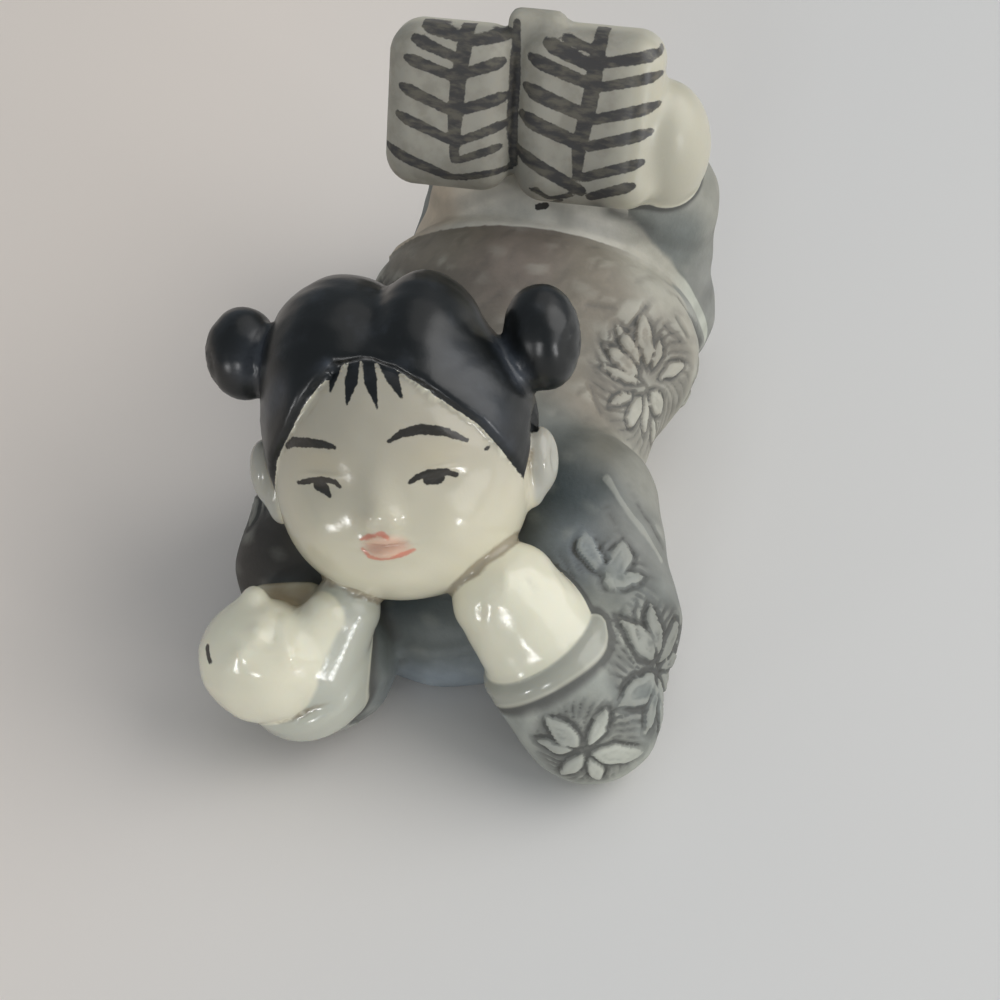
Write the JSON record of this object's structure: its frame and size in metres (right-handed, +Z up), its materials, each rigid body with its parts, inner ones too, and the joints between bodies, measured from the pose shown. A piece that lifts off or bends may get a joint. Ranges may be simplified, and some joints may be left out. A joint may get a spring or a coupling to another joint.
{
  "type": "resin girl figurine",
  "caption": "Small cast resin figurine of a girl lying on her front, chin on her hands and feet raised, a shelf or desk ornament.",
  "frame": {"origin": "middle of the overall box at the table surface", "axes": "+Z up, -Y towards her head and face, +Y towards her raised feet, +X to her left"},
  "size_m": [0.0336, 0.0518, 0.0304],
  "materials": {
    "resin": "glossy ivory cast resin, hand painted in blue grey, brown grey and black"
  },
  "bodies": {
    "root": {"girl_figurine": "resin"}
  },
  "joints": []
}
